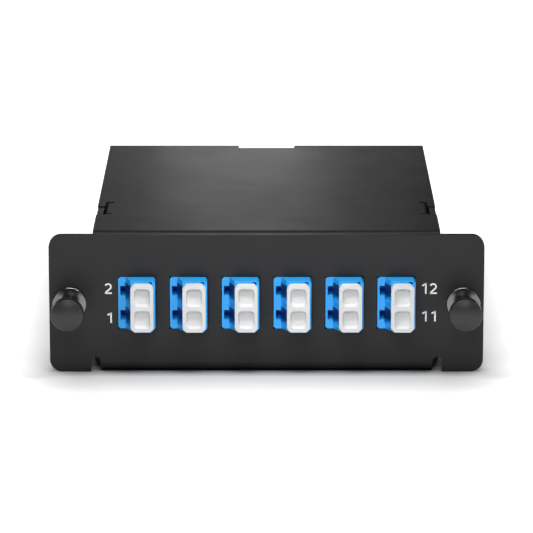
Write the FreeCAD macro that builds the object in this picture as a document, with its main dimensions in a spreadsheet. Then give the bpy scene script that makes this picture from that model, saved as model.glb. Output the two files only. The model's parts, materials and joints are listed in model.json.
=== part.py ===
"""Fibre cassette: a folded steel box with six duplex LC adapters in its face and one MPO adapter behind.

Frame: +X to the right across the face, +Y from the face into the box, +Z up. The origin is the middle
of the face plate's rear side, which seats on the rack panel. Millimetres throughout.
"""
import FreeCAD, Part
import math
import os
import re
import Sketcher

DIMENSIONS = [
    # face plate and folded tray
    ("panel_width", 109.0, "face plate, side to side"),
    ("panel_height", 35.4, "face plate, bottom to top"),
    ("panel_corner", 3.2, "corner radius of the face plate"),
    ("tray_gauge", 1.6, "sheet of the face plate, floor and walls"),
    ("bend_radius", 2.7, "outer radius of the tray's folds"),
    ("body_width", 87.2, "box behind the face, side to side"),
    ("body_depth", 109.0, "front of the face to the cover's rear edge"),
    ("relief_width", 2.3, "corner relief beside the floor's front fold"),
    ("relief_height", 3.8, "corner relief, from the floor up"),
    ("relief_inside", 83.5, "distance between the two reliefs"),
    ("relief_flare", 0.3, "outward flare of the relief's open end"),
    ("wall_setback", 2.7, "face plate's rear side to the side walls"),
    ("wall_inset", 0.15, "side wall inside the cover's edge"),
    # cover
    ("cover_gauge", 1.0, "sheet of the cover"),
    ("cover_bend", 2.0, "outer radius of the cover's folds"),
    ("cover_setback", 1.5, "face plate's rear side to the cover's front lip"),
    ("front_lip", 6.0, "drop of the cover's front lip"),
    ("rear_lip", 4.0, "drop of the cover's rear lip"),
    ("cover_overhang", 5.2, "cover's rear edge behind the rear wall"),
    ("notch_width", 15.4, "notch over the rear port"),
    ("notch_depth", 5.0, "notch over the rear port"),
    ("sheet_gap", 0.1, "clearance between folded sheets"),
    # snap tongues of the cover
    ("tongue_front", 22.2, "face plate's rear side to the tongue"),
    ("tongue_length", 12.4, "tongue between its two slits, along the box"),
    ("tongue_reach", 1.9, "slit length across the cover"),
    ("tongue_corner", 1.2, "rounded rear corner of the tongue"),
    ("tongue_trim", 1.6, "tongue's leg inside the tongue's rear end"),
    ("tongue_bend", 0.8, "outer radius of the tongue's fold"),
    ("slit_width", 0.9, "slits beside the tongue"),
    ("tongue_drop", 9.0, "cover's top to the tongue's lower end"),
    ("snap_gap", 0.45, "tongue to the wall beside it"),
    ("ear_front", 20.9, "face plate's rear side to the wall's ear"),
    ("ear_length", 9.6, "ear of the side wall that fills the cover's edge"),
    ("ear_gap", 0.2, "cover around the ear"),
    ("ear_low", 0.3, "ear below the cover's top, rear end"),
    ("ear_high", 0.05, "ear below the cover's top, front end"),
    ("nose_drop", 5.5, "cover's top to the snap nose"),
    ("nose_reach", 1.4, "snap nose, beyond the tongue"),
    ("nose_width", 5.0, "snap nose, along the box"),
    ("nose_height", 2.4, "snap nose"),
    ("window_gap", 0.3, "window in the wall, around the nose"),
    # rear hooks of the cover
    ("hook_spacing", 56.0, "distance between the two hooks"),
    ("hook_width", 8.0, "hook, across the box"),
    ("hook_drop", 9.6, "cover's top to the hook's lower side"),
    ("hook_reach", 3.0, "hook beyond the rear wall's inner side"),
    ("hook_gap", 0.3, "slot around the hook"),
    # duplex adapters
    ("adapter_pitch", 13.0, "distance between neighbouring adapters"),
    ("adapter_width", 9.4, "adapter across"),
    ("adapter_height", 13.3, "adapter, bottom to top"),
    ("adapter_rise", 0.2, "adapter's middle above the plate's middle"),
    ("adapter_length", 28.0, "adapter, front nose to rear nose"),
    ("adapter_gap", 0.15, "cut-out around the adapter"),
    ("nose_out", 4.1, "port nose in front of the face"),
    ("latch_side", 1.95, "flush latch side of the adapter's front"),
    ("nose_slope", 1.3, "slope between latch side and nose, across"),
    ("nose_chamfer", 1.1, "cut lower corner of the nose"),
    ("shoulder_height", 17.6, "adapter's shoulder behind the plate"),
    ("shoulder_thick", 1.8, "adapter's shoulder along the box"),
    ("port_pitch", 6.25, "distance between the two ports"),
    ("port_shift", 1.5, "ports towards the cap side of the adapter"),
    ("port_size", 4.6, "square port"),
    ("key_wide", 4.4, "wide part of the latch slot"),
    ("key_narrow", 2.45, "narrow part of the latch slot"),
    ("key_wide_edge", 1.85, "adapter's side to the wide part"),
    ("key_narrow_edge", 0.55, "adapter's side to the narrow part"),
    ("port_wall", 7.2, "wall between front and rear ports, around the sleeves"),
    ("sleeve_diameter", 1.62, "ceramic sleeve"),
    ("sleeve_length", 6.6, "ceramic sleeve"),
    ("sleeve_slit", 0.25, "slit of the sleeve"),
    ("sleeve_gap", 0.06, "sleeve in its bore, radial"),
    ("ferrule_diameter", 1.25, "ceramic ferrule"),
    ("ferrule_gap", 0.02, "ferrule in its sleeve, radial"),
    ("adapter_edge", 0.5, "cut long edges of the adapter"),
    ("eye_diameter", 1.0, "round eye at the nose's upper corner"),
    ("eye_x", 3.45, "eye from the adapter's middle, across"),
    ("eye_z", 5.95, "eye from the adapter's middle, upwards"),
    ("eye_depth", 1.5, "eye"),
    # adapter bracket
    ("bracket_gauge", 1.2, "sheet of the bracket"),
    ("bracket_bend", 2.2, "outer radius of the bracket's fold"),
    ("bracket_top", 10.6, "bracket's upper edge above the plate's middle"),
    ("bracket_foot", 14.0, "face plate's rear side to the foot's end"),
    ("bracket_side_gap", 1.5, "bracket to the side walls"),
    ("rivet_spacing", 52.0, "distance between the two rivets"),
    ("rivet_place", 9.0, "face plate's rear side to the rivets"),
    ("rivet_diameter", 3.0, "rivet shank"),
    ("rivet_head", 5.4, "rivet head"),
    ("rivet_head_height", 1.1, "rivet head"),
    ("rivet_gap", 0.05, "rivet in its holes, radial"),
    # dust caps
    ("cap_width", 5.75, "dust cap's head across"),
    ("cap_height", 12.1, "dust cap's head, bottom to top"),
    ("cap_thick", 2.15, "dust cap's head, out of the face"),
    ("cap_corner", 0.9, "cut corners of the head"),
    ("cap_shift", 1.46, "head towards the cap side of the adapter"),
    ("cap_foot", 0.5, "foot of the head, on the adapter's nose"),
    ("cap_neck", 0.75, "neck between the head's foot and its front"),
    ("cap_groove", 0.3, "neck inside the head's outline"),
    ("cap_recess_width", 4.0, "finger recess across"),
    ("cap_recess_height", 4.5, "finger recess, bottom to top"),
    ("cap_recess_pitch", 5.65, "distance between the two recesses"),
    ("cap_recess_depth", 1.3, "finger recess"),
    ("cap_recess_corner", 1.0, "corner radius of the recess"),
    ("cap_plug_size", 4.3, "square plug in the port"),
    ("cap_plug_length", 8.0, "plug behind the head"),
    ("cap_plug_lead", 0.5, "lead-in of the plug"),
    # LC plugs inside
    ("plug_size", 4.4, "square LC plug"),
    ("plug_length", 14.2, "LC plug housing"),
    ("ferrule_free", 4.5, "ferrule in front of the housing"),
    ("boot_diameter", 2.8, "boot behind the housing"),
    ("boot_length", 7.0, "boot"),
    ("arm_width", 2.2, "latch arm of the plug"),
    ("arm_rise", 1.1, "latch arm above the housing"),
    # fibres and fan-out
    ("fibre_diameter", 0.9, "buffered fibre"),
    ("fibre_lead", 5.2, "straight fibre beyond the boots and before the fan-out"),
    ("fibre_bend", 6.5, "bend radius of the fibres"),
    ("fan_pitch", 2.2, "distance between fibres in the fan-out"),
    ("fan_front", 62.0, "face plate's rear side to the fan-out"),
    ("fan_length", 8.0, "fan-out along the box"),
    ("fan_width", 14.0, "fan-out across"),
    ("fan_height", 5.4, "fan-out, bottom to top"),
    ("saddle_length", 6.0, "saddle under the fan-out"),
    ("saddle_foot", 20.0, "saddle's foot across"),
    ("saddle_wall", 1.6, "saddle's foot and arms"),
    ("saddle_grip", 2.0, "saddle's arms beside the fan-out"),
    ("saddle_stem", 6.0, "saddle's stem across"),
    ("trunk_diameter", 3.0, "jacketed trunk"),
    # MPO side
    ("mpo_width", 12.8, "MPO adapter across"),
    ("mpo_height", 9.4, "MPO adapter, bottom to top"),
    ("mpo_outside", 8.0, "MPO adapter behind the rear wall"),
    ("mpo_inside", 11.6, "MPO adapter in front of the rear wall's rear side"),
    ("mpo_flange_width", 22.4, "MPO adapter's flange"),
    ("mpo_flange_thick", 2.0, "MPO adapter's flange"),
    ("mpo_gap", 0.2, "rear wall around the MPO adapter"),
    ("mpo_port_width", 9.8, "MPO port across"),
    ("mpo_port_height", 6.6, "MPO port, bottom to top"),
    ("mpo_key_width", 3.0, "keyway of the MPO port"),
    ("mpo_key_height", 0.8, "keyway of the MPO port"),
    ("mpo_web", 1.6, "wall between the two MPO ports"),
    ("mpo_web_width", 6.8, "ferrule window in that wall"),
    ("mpo_web_height", 2.9, "ferrule window in that wall"),
    ("mpo_screw_spacing", 18.0, "distance between the two screws"),
    ("mpo_screw", 2.0, "MPO adapter's screws"),
    ("mpo_screw_gap", 0.1, "screw in its holes, radial"),
    ("mpo_screw_head", 3.6, "screw head"),
    ("mpo_screw_head_height", 1.3, "screw head"),
    ("mpo_nut", 4.0, "nut across flats"),
    ("mpo_nut_height", 1.6, "nut"),
    ("mpo_screw_end", 0.8, "screw beyond the nut"),
    ("mpo_play", 0.1, "MPO plug's sleeve to the adapter"),
    ("mpo_fit", 0.15, "plug and cap in the MPO port, each side"),
    ("mpo_plug_inset", 5.6, "MPO plug's housing inside the port"),
    ("mpo_ferrule", 6.4, "MT ferrule across"),
    ("mpo_ferrule_height", 2.5, "MT ferrule, bottom to top"),
    ("mpo_sleeve_width", 12.0, "MPO plug's sliding sleeve across"),
    ("mpo_sleeve_height", 8.2, "MPO plug's sliding sleeve, bottom to top"),
    ("mpo_sleeve_length", 8.0, "MPO plug's sliding sleeve"),
    ("mpo_boot_length", 7.0, "MPO plug's boot"),
    ("mpo_boot_diameter", 6.4, "MPO plug's boot at the sleeve"),
    ("mpo_boot_tip", 4.2, "MPO plug's boot at its end"),
    ("mpo_cap_wall", 2.6, "head of the MPO dust cap, along the box"),
    ("mpo_cap_plug", 6.0, "plug of the MPO dust cap"),
    # push-pull latches
    ("latch_spacing", 98.8, "distance between the two latches"),
    ("flange_diameter", 8.6, "grommet's flange"),
    ("flange_thick", 1.0, "grommet's flange"),
    ("barrel_diameter", 6.3, "grommet's barrel"),
    ("barrel_gap", 0.1, "plate around the barrel, radial"),
    ("barrel_length", 7.6, "grommet's barrel behind the plate"),
    ("barrel_tip", 5.6, "grommet's barrel at its end"),
    ("barrel_taper", 2.0, "tapered end of the barrel"),
    ("leg_root", 1.0, "plate's rear side to the leg slots"),
    ("flange_fall", 0.45, "fall of the flange's front towards its edge"),
    ("flange_bevel", 1.0, "sloping edge of the flange's front, radial"),
    ("leg_slot", 0.9, "slot between the grommet's legs"),
    ("stem_diameter", 4.0, "plunger's stem"),
    ("stem_gap", 0.08, "stem in the grommet, radial"),
    ("knob_diameter", 8.15, "plunger's knob"),
    ("knob_out", 12.7, "knob's front before the face, pulled out"),
    ("knob_rim", 3.6, "knob's cylindrical rim"),
    ("knob_fall", 0.8, "fall of the knob's front towards its edge"),
    ("waist_diameter", 4.8, "waist between knob and flange"),
    ("waist_length", 2.6, "waist's taper"),
    ("latch_travel", 4.8, "travel of the plunger"),
    ("stop_gap", 0.1, "play at both ends of the travel"),
    ("barb_diameter", 5.0, "barb at the stem's end"),
    ("barb_length", 2.2, "barb at the stem's end"),
]

ADAPTER_COUNT = 6
PORTS_PER_ADAPTER = 2
FIBRE_SIDES = 8

doc = FreeCAD.newDocument("fibre_cassette")
sheet = doc.addObject("Spreadsheet::Sheet", "Dims")
for row, (alias, value, meaning) in enumerate(DIMENSIONS, start=1):
    sheet.set("A%d" % row, meaning)
    sheet.set("B%d" % row, str(value))
    sheet.setAlias("B%d" % row, alias)
doc.recompute()
ALIASES = {alias for alias, value, meaning in DIMENSIONS}

# Places that several pieces share, written once in terms of the sheet.
HALF_BODY = "(body_width / 2)"
WALL_OUTER = "(body_width / 2 - wall_inset)"
WALL_INNER = "(body_width / 2 - wall_inset - tray_gauge)"
FLOOR_UNDER = "(-panel_height / 2)"
FLOOR_TOP = "(-panel_height / 2 + tray_gauge)"
COVER_TOP = "(panel_height / 2)"
COVER_UNDER = "(panel_height / 2 - cover_gauge)"
REAR_EDGE = "(body_depth - tray_gauge)"
REAR_WALL = "(body_depth - tray_gauge - cover_overhang)"
REAR_WALL_INNER = "(body_depth - 2 * tray_gauge - cover_overhang)"
WALL_END = "(body_depth - tray_gauge - cover_gauge - sheet_gap)"
FACE = "(-tray_gauge)"
NOSE = "(-tray_gauge - nose_out)"
ADAPTER_MIDDLE = "(adapter_length / 2 - tray_gauge - nose_out)"
BOOT_END = "(adapter_length / 2 - tray_gauge - nose_out + ferrule_free + plug_length + boot_length)"
TONGUE_X = "(body_width / 2 - wall_inset - tray_gauge - snap_gap)"
TONGUE_REAR = "(tongue_front + tongue_length)"
FIRST_ADAPTER = "(-adapter_pitch * (%d - 1) / 2)" % ADAPTER_COUNT
LATCH_X = "(latch_spacing / 2)"
KNOB_FRONT = "(-tray_gauge - knob_out)"
FAN_REAR = "(fan_front + fan_length)"
MPO_REAR = "(body_depth - tray_gauge - cover_overhang + mpo_outside)"
MPO_FRONT = "(body_depth - tray_gauge - cover_overhang - mpo_inside)"
MPO_MIDDLE = "(body_depth - tray_gauge - cover_overhang + (mpo_outside - mpo_inside) / 2)"
MPO_BOOT_FRONT = ("(body_depth - tray_gauge - cover_overhang - mpo_inside - mpo_sleeve_length"
                  " - mpo_boot_length)")


def bound(text):
    """Turn plain dimension names into references to the sheet's cells."""
    return re.sub(r"[a-z_]+", lambda word: "Dims." + word.group(0)
                  if word.group(0) in ALIASES else word.group(0), str(text))


def size(text):
    """Value of an expression of the sheet's dimensions."""
    return float(sheet.evalExpression(bound(text)))


def bind(target, **properties):
    """Bind properties to the sheet; a double underscore stands for a dot."""
    for name, text in properties.items():
        target.setExpression(name.replace("__", "."), bound(text))
    return target


def new_body(label, x="0", y="0", z="0"):
    """A body with its own label, placed by the sheet."""
    body = doc.addObject("PartDesign::Body", label)
    body.Label = label
    bind(body, Placement__Base__x=x, Placement__Base__y=y, Placement__Base__z=z)
    return body


def origin_part(body, role):
    """The body's own origin plane or axis with that role."""
    return next(part for part in body.Origin.OriginFeatures if part.Role == role)


def new_sketch(body, plane, label, lift="0"):
    """A sketch on one of the body's origin planes, lifted along the plane's normal."""
    sketch = body.newObject("Sketcher::SketchObject", body.Label + "_" + label)
    sketch.AttachmentSupport = [(origin_part(body, plane), "")]
    sketch.MapMode = "FlatFace"
    if lift != "0":
        bind(sketch, AttachmentOffset__Base__z=lift)
    return sketch


def fix_point(sketch, geometry, end, x, y):
    """Tie a point of the sketch to the sheet, measured from the sketch's origin."""
    for kind, text in (("DistanceX", x), ("DistanceY", y)):
        index = sketch.addConstraint(Sketcher.Constraint(kind, -1, 1, geometry, end, size(text)))
        sketch.setExpression("Constraints[%d]" % index, bound(text))


def add_outline(sketch, corners):
    """Closed outline. A corner is (x, y) or, where it is rounded, (x, y, radius)."""
    count = len(corners)
    places = [FreeCAD.Vector(size(corner[0]), size(corner[1]), 0) for corner in corners]
    starts = []
    ends = []
    for i, place in enumerate(places):
        back = (places[i - 1] - place).normalize()
        ahead = (places[(i + 1) % count] - place).normalize()
        trim = 0.0
        if len(corners[i]) == 3:
            trim = size(corners[i][2]) / math.tan(back.getAngle(ahead) / 2)
        starts.append(place + back * trim)
        ends.append(place + ahead * trim)
    lines = [sketch.addGeometry(Part.LineSegment(ends[i], starts[(i + 1) % count]), False)
             for i in range(count)]
    for i, corner in enumerate(corners):
        before = lines[i - 1]
        after = lines[i]
        if len(corner) == 2:
            sketch.addConstraint(Sketcher.Constraint("Coincident", before, 2, after, 1))
            fix_point(sketch, after, 1, corner[0], corner[1])
            continue
        radius = size(corner[2])
        inward = (starts[i] + ends[i]) * 0.5 - places[i]
        centre_distance = math.hypot((starts[i] - places[i]).Length, radius)
        centre = places[i] + inward.normalize() * centre_distance
        middle = centre - inward.normalize() * radius
        arc = sketch.addGeometry(Part.Arc(starts[i], middle, ends[i]), False)
        ccw = ((starts[i] - centre).cross(ends[i] - centre)).z > 0
        first, last = (1, 2) if ccw else (2, 1)
        vertex = sketch.addGeometry(Part.Point(places[i]), True)
        fix_point(sketch, vertex, 1, corner[0], corner[1])
        sketch.addConstraint(Sketcher.Constraint("PointOnObject", vertex, 1, before))
        sketch.addConstraint(Sketcher.Constraint("PointOnObject", vertex, 1, after))
        sketch.addConstraint(Sketcher.Constraint("Tangent", before, 2, arc, first))
        sketch.addConstraint(Sketcher.Constraint("Tangent", arc, last, after, 1))
        index = sketch.addConstraint(Sketcher.Constraint("Radius", arc, radius))
        sketch.setExpression("Constraints[%d]" % index, bound(corner[2]))
    return sketch


def add_circle(sketch, x, y, diameter):
    """Circle tied to the sheet by its centre and diameter."""
    centre = FreeCAD.Vector(size(x), size(y), 0)
    normal = FreeCAD.Vector(0, 0, 1)
    circle = sketch.addGeometry(Part.Circle(centre, normal, size(diameter) / 2), False)
    fix_point(sketch, circle, 3, x, y)
    index = sketch.addConstraint(Sketcher.Constraint("Diameter", circle, size(diameter)))
    sketch.setExpression("Constraints[%d]" % index, bound(diameter))
    return sketch


def rectangle(x_low, x_high, y_low, y_high, radius=None):
    """Corners of an upright rectangle, all rounded where a radius is given."""
    corners = [(x_low, y_low), (x_high, y_low), (x_high, y_high), (x_low, y_high)]
    if radius is None:
        return corners
    return [corner + (radius,) for corner in corners]


def centred(width, height, x="0", y="0", radius=None):
    """Corners of a rectangle about a middle point."""
    return rectangle("%s - %s / 2" % (x, width), "%s + %s / 2" % (x, width),
                     "%s - %s / 2" % (y, height), "%s + %s / 2" % (y, height), radius)


def extrude(body, kind, sketch, length, both_ways=False, reverse=False):
    """Pad or pocket a sketch, and check that the solid grew or shrank."""
    doc.recompute()
    before = body.Shape.Volume if body.Tip else 0.0
    feature = body.newObject("PartDesign::" + kind, sketch.Label + "_" + kind.lower())
    feature.Profile = sketch
    feature.SideType = "Symmetric" if both_ways else "One side"
    feature.Reversed = reverse
    bind(feature, Length=length)
    body.Tip = feature
    doc.recompute()
    change = body.Shape.Volume - before
    if (kind == "Pad") != (change > 0) or abs(change) < 1e-6:
        raise RuntimeError("%s changes nothing: %.4f" % (feature.Label, change))
    return feature


def pad(body, sketch, length, both_ways=False, reverse=False):
    """Add material along the sketch's normal."""
    return extrude(body, "Pad", sketch, length, both_ways, reverse)


def pocket(body, sketch, length, both_ways=False, reverse=False):
    """Remove material against the sketch's normal."""
    return extrude(body, "Pocket", sketch, length, both_ways, reverse)


def revolve(body, sketch, axis):
    """Turn a sketch a full circle about one of the body's own axes."""
    feature = body.newObject("PartDesign::Revolution", sketch.Label + "_revolution")
    feature.Profile = sketch
    feature.ReferenceAxis = (origin_part(body, axis), [""])
    feature.Angle = 360
    body.Tip = feature
    doc.recompute()
    return feature


def row_of(body, feature, axis, pitch, count):
    """Repeat a feature in a row along one of the body's axes."""
    pattern = body.newObject("PartDesign::LinearPattern", feature.Label + "_row")
    pattern.Originals = [feature]
    pattern.Direction = (origin_part(body, axis), [""])
    pattern.Mode = "Spacing"
    bind(pattern, Offset=pitch)
    pattern.Occurrences = count
    body.Tip = pattern
    doc.recompute()
    return pattern


def mirror_of(body, features, plane="YZ_Plane"):
    """Mirror features across one of the body's origin planes."""
    pattern = body.newObject("PartDesign::Mirrored", features[0].Label + "_mirror")
    pattern.Originals = features
    pattern.MirrorPlane = (origin_part(body, plane), [""])
    body.Tip = pattern
    doc.recompute()
    return pattern


def edges_where(body, test):
    """Names of the body's edges for which the test holds."""
    doc.recompute()
    return ["Edge%d" % (i + 1) for i, edge in enumerate(body.Shape.Edges) if test(edge)]


def dress(body, kind, edges, size_text):
    """Fillet or chamfer the named edges of the body's tip."""
    base = body.Tip
    feature = body.newObject("PartDesign::" + kind, body.Label + "_" + kind.lower())
    feature.Base = (base, edges)
    bind(feature, **{"Radius" if kind == "Fillet" else "Size": size_text})
    body.Tip = feature
    doc.recompute()
    return feature


def lies_at(edge, axis, place):
    """True if the whole edge lies at one place along an axis (0, 1 or 2)."""
    box = edge.BoundBox
    low = (box.XMin, box.YMin, box.ZMin)[axis]
    high = (box.XMax, box.YMax, box.ZMax)[axis]
    return abs(low - place) < 1e-4 and abs(high - place) < 1e-4


def adapter_cutouts(body, lift, width_gap, depth, reverse):
    """A row of cut-outs through which the adapters pass."""
    sketch = new_sketch(body, "XZ_Plane", "cutout", lift)
    add_outline(sketch, centred("(adapter_width + 2 * %s)" % width_gap,
                                "(adapter_height + 2 * %s)" % width_gap,
                                FIRST_ADAPTER, "adapter_rise"))
    cut = pocket(body, sketch, depth, reverse=reverse)
    row_of(body, cut, "X_Axis", "adapter_pitch", ADAPTER_COUNT)


def base_tray():
    """Face plate, floor, rear wall and side walls, folded from one sheet."""
    body = new_body("base_tray")
    pad(body, add_outline(new_sketch(body, "XZ_Plane", "face"),
                          centred("panel_width", "panel_height", radius="panel_corner")),
        "tray_gauge")

    # The plate's lower edge gives way to the floor's fold between two round-topped reliefs.
    fold_line = "(%s + bend_radius)" % FLOOR_UNDER
    relief_top = "(%s + relief_height)" % FLOOR_UNDER
    below = "(%s - tray_gauge)" % FLOOR_UNDER
    inner = "(relief_inside / 2)"
    outer = "(relief_inside / 2 + relief_width)"
    flared = "(relief_inside / 2 + relief_width + relief_flare)"
    round_top = "relief_width * 0.45"
    reliefs = new_sketch(body, "XZ_Plane", "reliefs")
    add_outline(reliefs, [("-" + flared, below), (flared, below), (outer, relief_top, round_top),
                          (inner, relief_top, round_top), (inner, fold_line),
                          ("-" + inner, fold_line), ("-" + inner, relief_top, round_top),
                          ("-" + outer, relief_top, round_top)])
    pocket(body, reliefs, "tray_gauge", reverse=True)

    # Floor and rear wall, seen from the side.
    bend_inside = "bend_radius - tray_gauge"
    overlap = "(%s + tray_gauge)" % fold_line
    wall_top = "(%s - sheet_gap)" % COVER_UNDER
    floor = new_sketch(body, "YZ_Plane", "floor")
    add_outline(floor, [(FACE, overlap), (FACE, FLOOR_UNDER, "bend_radius"),
                        (REAR_WALL, FLOOR_UNDER, "bend_radius"), (REAR_WALL, wall_top),
                        (REAR_WALL_INNER, wall_top), (REAR_WALL_INNER, FLOOR_TOP, bend_inside),
                        ("0", FLOOR_TOP, bend_inside), ("0", overlap)])
    pad(body, floor, "relief_inside", both_ways=True)

    # Right side wall: its fold along the floor, its plate with the ear, and the snap window.
    root = "(relief_inside / 2 - bend_radius)"
    fold = new_sketch(body, "XZ_Plane", "side_fold", "-wall_setback")
    add_outline(fold, [(root, FLOOR_UNDER), (WALL_OUTER, FLOOR_UNDER, "bend_radius"),
                       (WALL_OUTER, overlap), (WALL_INNER, overlap),
                       (WALL_INNER, FLOOR_TOP, bend_inside), (root, FLOOR_TOP)])
    fold_pad = pad(body, fold, "%s - bend_radius - wall_setback" % REAR_WALL, reverse=True)
    ear_rear = "(ear_front + ear_length)"
    wall = new_sketch(body, "YZ_Plane", "side_wall", WALL_INNER)
    add_outline(wall, [("wall_setback", fold_line), (WALL_END, fold_line),
                       (WALL_END, COVER_UNDER, "cover_bend"),
                       (ear_rear, COVER_UNDER), (ear_rear, "%s - ear_low" % COVER_TOP),
                       ("ear_front", "%s - ear_high" % COVER_TOP), ("ear_front", COVER_UNDER),
                       ("wall_setback", COVER_UNDER, "cover_bend")])
    wall_pad = pad(body, wall, "tray_gauge")
    window = new_sketch(body, "YZ_Plane", "snap_window", WALL_INNER)
    add_outline(window, centred("(nose_width + 2 * window_gap)", "(nose_height + 2 * window_gap)",
                                "tongue_front + tongue_length / 2",
                                "%s - nose_drop - nose_height / 2" % COVER_TOP))
    window_cut = pocket(body, window, "tray_gauge", reverse=True)
    mirror_of(body, [fold_pad, wall_pad, window_cut])

    adapter_cutouts(body, "0", "adapter_gap", "tray_gauge", True)
    latches = new_sketch(body, "XZ_Plane", "latch_holes")
    for side in ("-", ""):
        add_circle(latches, side + LATCH_X, "0", "barrel_diameter + 2 * barrel_gap")
    pocket(body, latches, "tray_gauge", reverse=True)

    # Rear wall: MPO cut-out, its two screws and the two slots for the cover's hooks.
    rear = new_sketch(body, "XZ_Plane", "rear_openings", "-" + REAR_WALL_INNER)
    add_outline(rear, centred("(mpo_width + 2 * mpo_gap)", "(mpo_height + 2 * mpo_gap)"))
    for side in ("-", ""):
        add_circle(rear, side + "mpo_screw_spacing / 2", "0", "mpo_screw + 2 * mpo_screw_gap")
        add_outline(rear, centred("(hook_width + 2 * hook_gap)", "(cover_gauge + 2 * hook_gap)",
                                  side + "hook_spacing / 2",
                                  "%s - hook_drop + cover_gauge / 2" % COVER_TOP))
    pocket(body, rear, "tray_gauge")
    rivets = new_sketch(body, "XY_Plane", "rivet_holes", FLOOR_TOP)
    for side in ("-", ""):
        add_circle(rivets, side + "rivet_spacing / 2", "rivet_place",
                   "rivet_diameter + 2 * rivet_gap")
    pocket(body, rivets, "tray_gauge")
    return body


def top_cover():
    """Cover folded from one sheet: lips, rear notch, snap tongues and rear hooks."""
    body = new_body("top_cover")
    bend_inside = "cover_bend - cover_gauge"
    lip_rear = "(cover_setback + cover_gauge)"
    lip_inner = "(%s - cover_gauge)" % REAR_EDGE
    front_end = "%s - front_lip" % COVER_TOP
    rear_end = "%s - rear_lip" % COVER_TOP
    profile = new_sketch(body, "YZ_Plane", "profile")
    add_outline(profile, [("cover_setback", front_end), ("cover_setback", COVER_TOP, "cover_bend"),
                          (REAR_EDGE, COVER_TOP, "cover_bend"), (REAR_EDGE, rear_end),
                          (lip_inner, rear_end), (lip_inner, COVER_UNDER, bend_inside),
                          (lip_rear, COVER_UNDER, bend_inside), (lip_rear, front_end)])
    pad(body, profile, "body_width", both_ways=True)
    notch = new_sketch(body, "XY_Plane", "notch", COVER_TOP)
    add_outline(notch, rectangle("-notch_width / 2", "notch_width / 2",
                                 "%s - notch_depth" % REAR_EDGE, "%s + notch_depth" % REAR_EDGE))
    pocket(body, notch, "rear_lip + cover_gauge")

    # Slits that free the tongue, and the edge cut-out that the wall's ear fills.
    slit_end = "(%s - tongue_reach)" % TONGUE_X
    ear_side = "(%s - ear_gap)" % WALL_INNER
    outside = "(%s + cover_gauge)" % HALF_BODY
    ear_low = "ear_front - ear_gap"
    ear_high = "ear_front + ear_length + ear_gap"
    slits = new_sketch(body, "XY_Plane", "slits", COVER_TOP)
    add_outline(slits, [(slit_end, "tongue_front - slit_width"),
                        (ear_side, "tongue_front - slit_width"), (ear_side, ear_low),
                        (outside, ear_low), (outside, ear_high), (ear_side, ear_high),
                        (ear_side, TONGUE_REAR + " + slit_width"),
                        (slit_end, TONGUE_REAR + " + slit_width"), (slit_end, TONGUE_REAR),
                        (TONGUE_X, TONGUE_REAR, "tongue_corner"), (TONGUE_X, "tongue_front"),
                        (slit_end, "tongue_front")])
    slit_cut = pocket(body, slits, "cover_gauge")
    leg = new_sketch(body, "XZ_Plane", "tongue_leg", "-tongue_front")
    add_outline(leg, rectangle("%s - cover_gauge" % TONGUE_X, TONGUE_X,
                               "%s - tongue_drop" % COVER_TOP, COVER_TOP))
    leg_pad = pad(body, leg, "tongue_length - tongue_trim", reverse=True)
    nose = new_sketch(body, "XZ_Plane", "snap_nose", "-(tongue_front + tongue_length / 2)")
    nose_top = "%s - nose_drop" % COVER_TOP
    root = "%s - cover_gauge / 2" % TONGUE_X
    add_outline(nose, [(root, nose_top), (root, nose_top + " - nose_height"),
                       (TONGUE_X, nose_top + " - nose_height"),
                       (TONGUE_X + " + nose_reach", nose_top)])
    nose_pad = pad(body, nose, "nose_width", both_ways=True)

    # Hooks folded forward from the rear lip, through the rear wall.
    hook_end = "%s - hook_reach" % REAR_WALL_INNER
    hook_low = "%s - hook_drop" % COVER_TOP
    hook_high = "%s - hook_drop + cover_gauge" % COVER_TOP
    lip_middle = "%s - rear_lip + cover_gauge" % COVER_TOP
    hook = new_sketch(body, "YZ_Plane", "hook", "hook_spacing / 2")
    add_outline(hook, [(REAR_EDGE, lip_middle), (lip_inner, lip_middle),
                       (lip_inner, hook_high, bend_inside), (hook_end, hook_high),
                       (hook_end, hook_low), (REAR_EDGE, hook_low, "cover_bend")])
    hook_pad = pad(body, hook, "hook_width", both_ways=True)
    mirror_of(body, [slit_cut, leg_pad, nose_pad, hook_pad])

    tongue_edges = edges_where(body, lambda edge: lies_at(edge, 2, size(COVER_TOP))
                               and abs(abs(edge.CenterOfMass.x) - size(TONGUE_X)) < 1e-3
                               and edge.BoundBox.XLength < 1e-4)
    dress(body, "Fillet", tongue_edges, "tongue_bend")
    return body


def adapter_bracket():
    """Folded strip on the floor whose windows trap the adapters' shoulders."""
    body = new_body("adapter_bracket")
    web_rear = "(shoulder_thick + bracket_gauge)"
    foot_top = "%s + bracket_gauge" % FLOOR_TOP
    profile = new_sketch(body, "YZ_Plane", "profile")
    add_outline(profile, [("shoulder_thick", "bracket_top"),
                          ("shoulder_thick", FLOOR_TOP, "bracket_bend"),
                          ("bracket_foot", FLOOR_TOP), ("bracket_foot", foot_top),
                          (web_rear, foot_top, "bracket_bend - bracket_gauge"),
                          (web_rear, "bracket_top")])
    pad(body, profile, "2 * (%s - bracket_side_gap)" % WALL_INNER, both_ways=True)
    adapter_cutouts(body, "-shoulder_thick", "adapter_gap", "bracket_gauge", False)
    holes = new_sketch(body, "XY_Plane", "rivet_holes", foot_top)
    for side in ("-", ""):
        add_circle(holes, side + "rivet_spacing / 2", "rivet_place",
                   "rivet_diameter + 2 * rivet_gap")
    pocket(body, holes, "bracket_gauge")
    return body


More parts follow.
